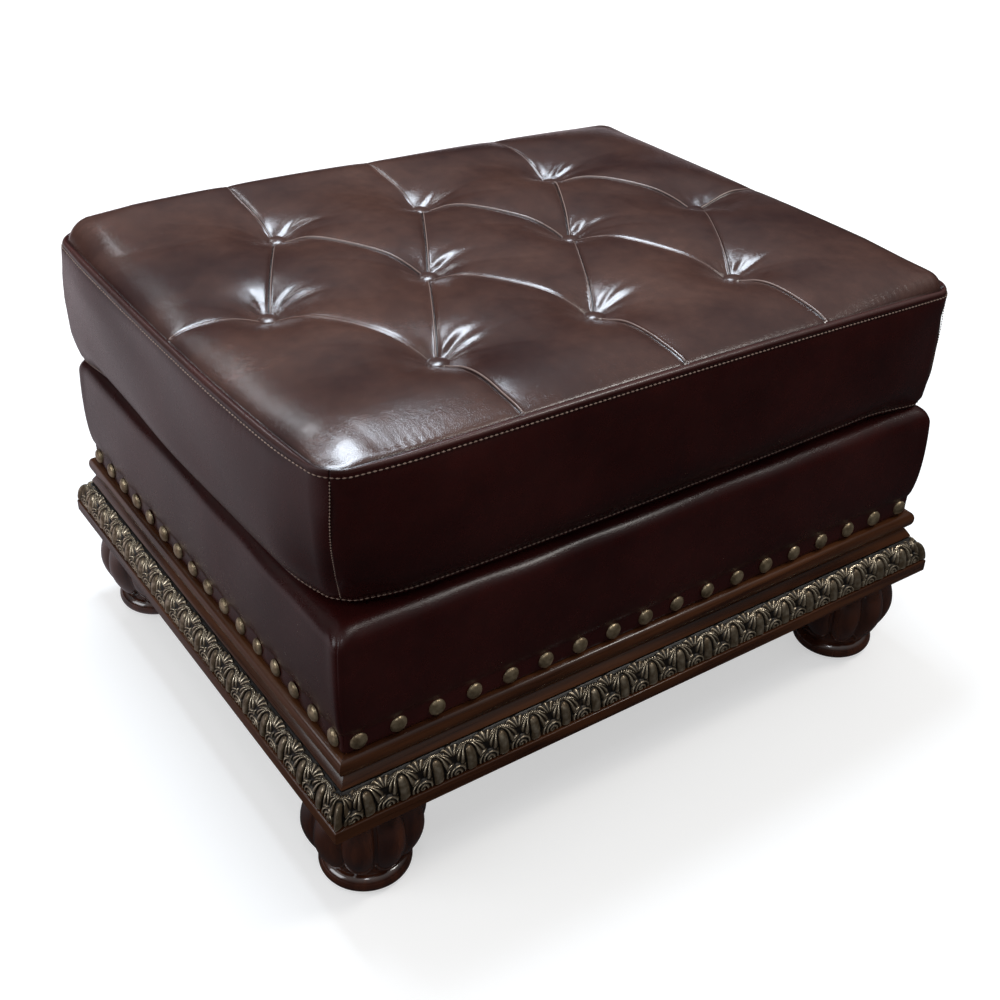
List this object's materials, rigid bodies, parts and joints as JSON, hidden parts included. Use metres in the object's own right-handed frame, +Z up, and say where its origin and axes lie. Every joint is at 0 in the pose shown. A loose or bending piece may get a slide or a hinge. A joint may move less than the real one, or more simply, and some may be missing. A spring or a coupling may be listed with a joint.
{
  "type": "ottoman coffee table",
  "caption": "Oblong leather ottoman coffee table: tufted box cushion on an upholstered box with nail trim, carved moulded plinth and gadrooned bun feet.",
  "frame": {"origin": "on the floor, under the middle of the table (bottom centre of the bounding box)", "axes": "+X along the long side to the right seen from the front, +Y to the back, +Z up"},
  "size_m": [0.78, 0.644, 0.4999],
  "materials": {
    "mahogany": "dark mahogany stain under satin lacquer",
    "carved_bronze": "carved wood with antiqued bronze gilding and a dark glaze in the recesses",
    "oxblood_leather": "glossy oxblood brown upholstery leather",
    "aged_brass": "antique brass, lightly hammered domes",
    "frame_wood": "unfinished hardwood",
    "zinc_steel": "zinc plated",
    "nylon": "brown nylon",
    "webbing": "woven jute",
    "hessian": "hessian",
    "felt": "needled felt and foam",
    "cambric": "black non-woven cambric",
    "foam": "polyurethane foam",
    "twine": "waxed twine",
    "toggle": "white plastic"
  },
  "bodies": {
    "base": {"plinth_rail_front": "mahogany", "plinth_rail_back": "mahogany", "plinth_rail_left": "mahogany", "plinth_rail_right": "mahogany", "foot_front_left": "mahogany", "foot_front_right": "mahogany", "foot_back_left": "mahogany", "foot_back_right": "mahogany", "carved_moulding_front": "carved_bronze", "carved_moulding_back": "carved_bronze", "carved_moulding_left": "carved_bronze", "carved_moulding_right": "carved_bronze", "foot_glides": "nylon", "hanger_bolts": "zinc_steel", "tee_nuts": "zinc_steel", "corner_block_screws": "zinc_steel", "plinth_screws": "zinc_steel", "frame_screws": "zinc_steel", "corner_block_front_left": "frame_wood", "corner_block_front_right": "frame_wood", "corner_block_back_left": "frame_wood", "corner_block_back_right": "frame_wood", "box_rail_front": "frame_wood", "box_rail_back": "frame_wood", "box_rail_left": "frame_wood", "box_rail_right": "frame_wood", "corner_post_front_left": "frame_wood", "corner_post_front_right": "frame_wood", "corner_post_back_left": "frame_wood", "corner_post_back_right": "frame_wood", "centre_stretcher": "frame_wood", "webbing_long": "webbing", "webbing_cross": "webbing", "deck_hessian": "hessian", "deck_pad": "felt", "side_padding_front": "felt", "side_padding_back": "felt", "side_padding_left": "felt", "side_padding_right": "felt", "deck_cloth": "oxblood_leather", "box_cover_front": "oxblood_leather", "box_cover_back": "oxblood_leather", "box_cover_left": "oxblood_leather", "box_cover_right": "oxblood_leather", "nails_front": "aged_brass", "nails_back": "aged_brass", "nails_left": "aged_brass", "nails_right": "aged_brass", "dust_cover": "cambric"},
    "cushion": {"cushion_top_panel": "oxblood_leather", "cushion_boxing_front": "oxblood_leather", "cushion_boxing_back": "oxblood_leather", "cushion_boxing_left": "oxblood_leather", "cushion_boxing_right": "oxblood_leather", "cushion_bottom_panel": "oxblood_leather", "cushion_buttons": "oxblood_leather", "cushion_foam_core": "foam", "button_ties": "twine", "tie_toggles": "toggle"}
  },
  "joints": [
    {"name": "cushion_lift", "type": "slide", "parent": "base", "child": "cushion", "axis": [0, 0, 1], "range_m": [0, 0.3]}
  ]
}
